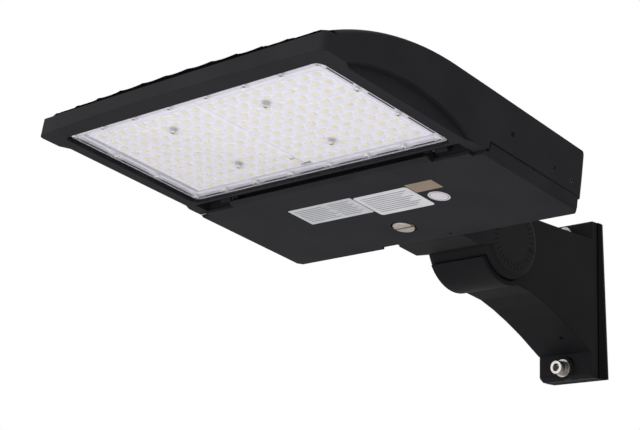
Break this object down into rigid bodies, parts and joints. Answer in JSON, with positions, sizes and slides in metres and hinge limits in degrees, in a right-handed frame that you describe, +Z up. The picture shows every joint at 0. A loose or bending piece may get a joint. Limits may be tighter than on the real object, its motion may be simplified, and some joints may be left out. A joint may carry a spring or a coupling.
{
  "type": "shoebox area light",
  "caption": "Flat die-cast LED area light with finned head, dome lens cover, hinged driver cover and a tilting knuckle arm that bolts to a pole.",
  "frame": {"origin": "on the pole face, midway between the two pole bolts", "axes": "+Y into the pole, -Y along the reach to the head's front rim, +Z up, +X to the right seen from behind the front rim looking at the pole"},
  "size_m": [0.3346, 0.5506, 0.206],
  "materials": {
    "cast_body": "fine textured dark powder coat",
    "cast_cover": "fine textured dark powder coat",
    "cast_knuckle": "fine textured dark powder coat",
    "cast_arm": "fine textured dark powder coat",
    "adapter_black": "black powder coat",
    "board_white": "white solder mask on a metal core board",
    "led_phosphor": "pale yellow phosphor",
    "lens_clear": "clear polycarbonate",
    "rubber_black": "matte",
    "stainless": "bright stainless",
    "black_steel": "black oxide",
    "plastic_white": "satin",
    "plastic_dark": "satin",
    "plastic_black": "satin",
    "driver_case": "bare satin",
    "green_steel": "green lacquer",
    "lead_red": "red insulation",
    "label_silver": "silver film, blank"
  },
  "bodies": {
    "arm_body": {"arm": "cast_arm", "pole_adapter": "adapter_black", "pole_gasket": "rubber_black", "pole_bolts": "stainless", "pole_washers": "stainless"},
    "head_body": {"housing": "cast_body", "led_board_left": "board_white", "led_board_right": "board_white", "led_chips": "led_phosphor", "lens_cover": "lens_clear", "lens_gasket": "rubber_black", "lens_screws": "stainless", "lens_centre_screws": "stainless", "board_connector": "plastic_white", "wire_grommet": "rubber_black", "led_driver": "driver_case", "driver_screws": "stainless", "surge_protector": "plastic_dark", "terminal_block": "plastic_white", "ground_screw": "green_steel", "internal_leads": "lead_red", "breather_vent": "plastic_black", "side_screws": "black_steel", "hinge_pins": "stainless", "knuckle_bracket": "cast_knuckle", "bracket_gasket": "rubber_black", "bracket_screws": "stainless", "knuckle_bolt": "stainless", "knuckle_washer": "stainless"},
    "cover_body": {"driver_cover": "cast_cover", "cover_gasket": "rubber_black", "cover_labels": "label_silver"},
    "coin_body": {"coin_screw": "stainless", "coin_screw_clip": "stainless"}
  },
  "joints": [
    {"name": "head_tilt", "type": "hinge", "parent": "arm_body", "child": "head_body", "pos_m": [0, -0.1481, 0.0385], "axis": [-1, 0, 0], "range_deg": [-9.5, 80.5]},
    {"name": "cover_swing", "type": "hinge", "parent": "head_body", "child": "cover_body", "pos_m": [0, -0.34963, 0.06852], "axis": [-1, 0, 0], "range_deg": [0, 85]},
    {"name": "coin_turn", "type": "hinge", "parent": "cover_body", "child": "coin_body", "pos_m": [0, -0.25538, 0.03937], "axis": [0, -0.213, -0.977], "range_deg": [0, 90]}
  ]
}
